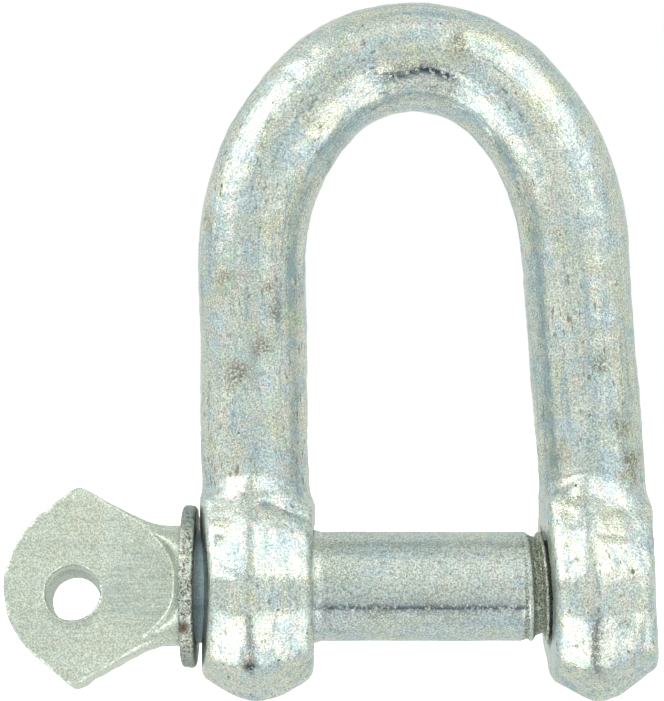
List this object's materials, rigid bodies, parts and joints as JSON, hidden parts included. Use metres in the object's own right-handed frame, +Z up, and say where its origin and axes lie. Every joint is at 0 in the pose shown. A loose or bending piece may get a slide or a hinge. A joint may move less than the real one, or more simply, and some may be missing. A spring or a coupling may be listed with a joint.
{
  "type": "bow shackle",
  "caption": "Forged D-shaped shackle with a screw collar pin that has a flattened eye head and a right-hand thread.",
  "frame": {"origin": "on the pin's axis, midway between the inner faces of the two ears", "axes": "+X along the pin from its head to its threaded tip, +Z up to the crown, +Y across the shackle from front to back"},
  "size_m": [0.0722, 0.0246, 0.0765],
  "materials": {
    "plated_body": "bright zinc plating over forged steel, mottled, with dark pits",
    "worn_collar": "thin zinc with brown specks and a rust spot on the rim",
    "plated_pin": "bright zinc plating with fine lengthwise die marks"
  },
  "bodies": {
    "body": {"shackle_body": "plated_body"},
    "collar": {"pin_collar": "worn_collar"},
    "pin": {"screw_pin": "plated_pin"}
  },
  "joints": [
    {"name": "pin_travel", "type": "slide", "parent": "body", "child": "collar", "axis": [-1, 0, 0], "range_m": [-0.00029, 0.0612]},
    {"name": "pin_turn", "type": "hinge", "parent": "collar", "child": "pin", "pos_m": [0, 0, 0], "axis": [-1, 0, 0], "range_deg": [-60, 12600]}
  ],
  "couplings": [
    {"joint": "pin_turn", "follows": "pin_travel", "rad_per_m": 3590.4}
  ]
}
